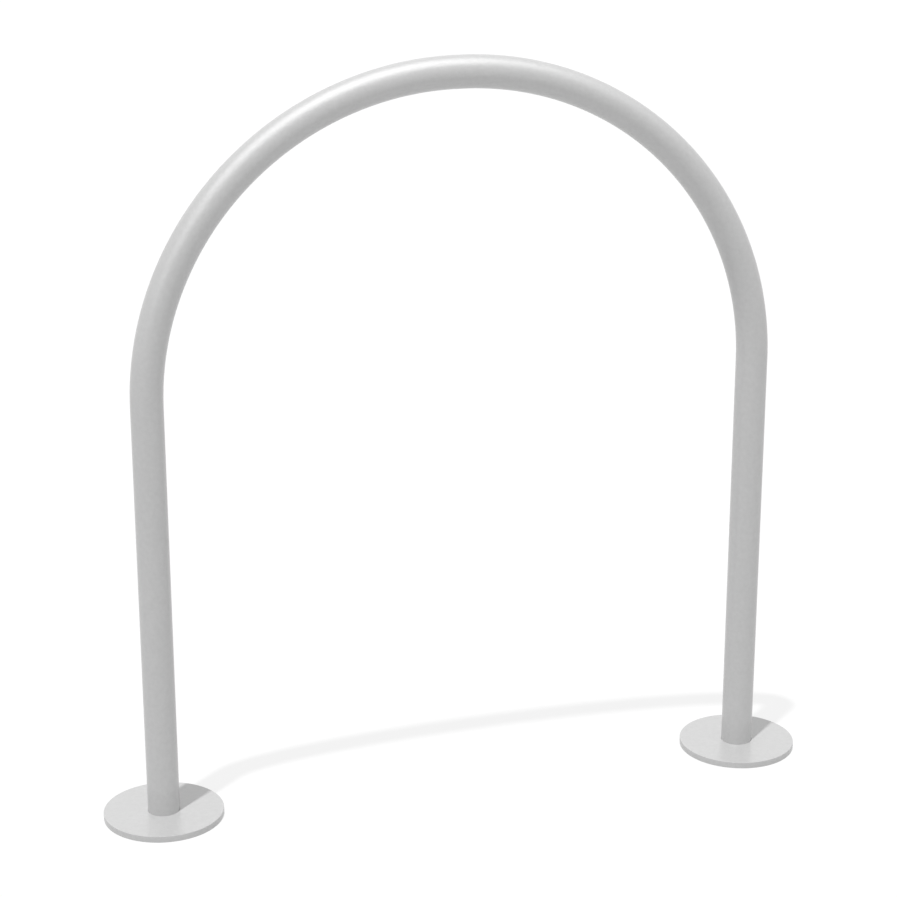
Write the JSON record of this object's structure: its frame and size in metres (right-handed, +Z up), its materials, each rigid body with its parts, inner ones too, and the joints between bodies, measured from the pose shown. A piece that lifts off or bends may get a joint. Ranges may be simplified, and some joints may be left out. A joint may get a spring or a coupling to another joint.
{
  "type": "hoop bike rack",
  "caption": "Inverted-U hoop of bent round steel tube on round welded anchor plates, each hidden by a thin round cover that slides up the leg; bicycles lean on it and lock to it.",
  "frame": {"origin": "on the ground, midway between the two legs, at the centre of the bounding box's base", "axes": "+Z up to the top of the bend; +X from the left leg to the right leg as the picture shows them; +Y to the back, across the plane of the hoop"},
  "size_m": [0.8784, 0.1436, 0.896],
  "materials": {
    "hoop_coat": "satin light grey powder coat",
    "cover_coat": "satin light grey powder coat",
    "anchor_zinc": "dull zinc",
    "weld_metal": "zinc-dipped weld bead"
  },
  "bodies": {
    "rack": {"hoop_tube": "hoop_coat", "left_anchor_plate": "anchor_zinc", "right_anchor_plate": "anchor_zinc", "left_weld": "weld_metal", "right_weld": "weld_metal"},
    "left_cover": {"left_cover_plate": "cover_coat"},
    "right_cover": {"right_cover_plate": "cover_coat"}
  },
  "joints": [
    {"name": "left_cover_slide", "type": "slide", "parent": "rack", "child": "left_cover", "axis": [0, 0, 1], "range_m": [0, 0.5]},
    {"name": "right_cover_slide", "type": "slide", "parent": "rack", "child": "right_cover", "axis": [0, 0, 1], "range_m": [0, 0.5]}
  ]
}
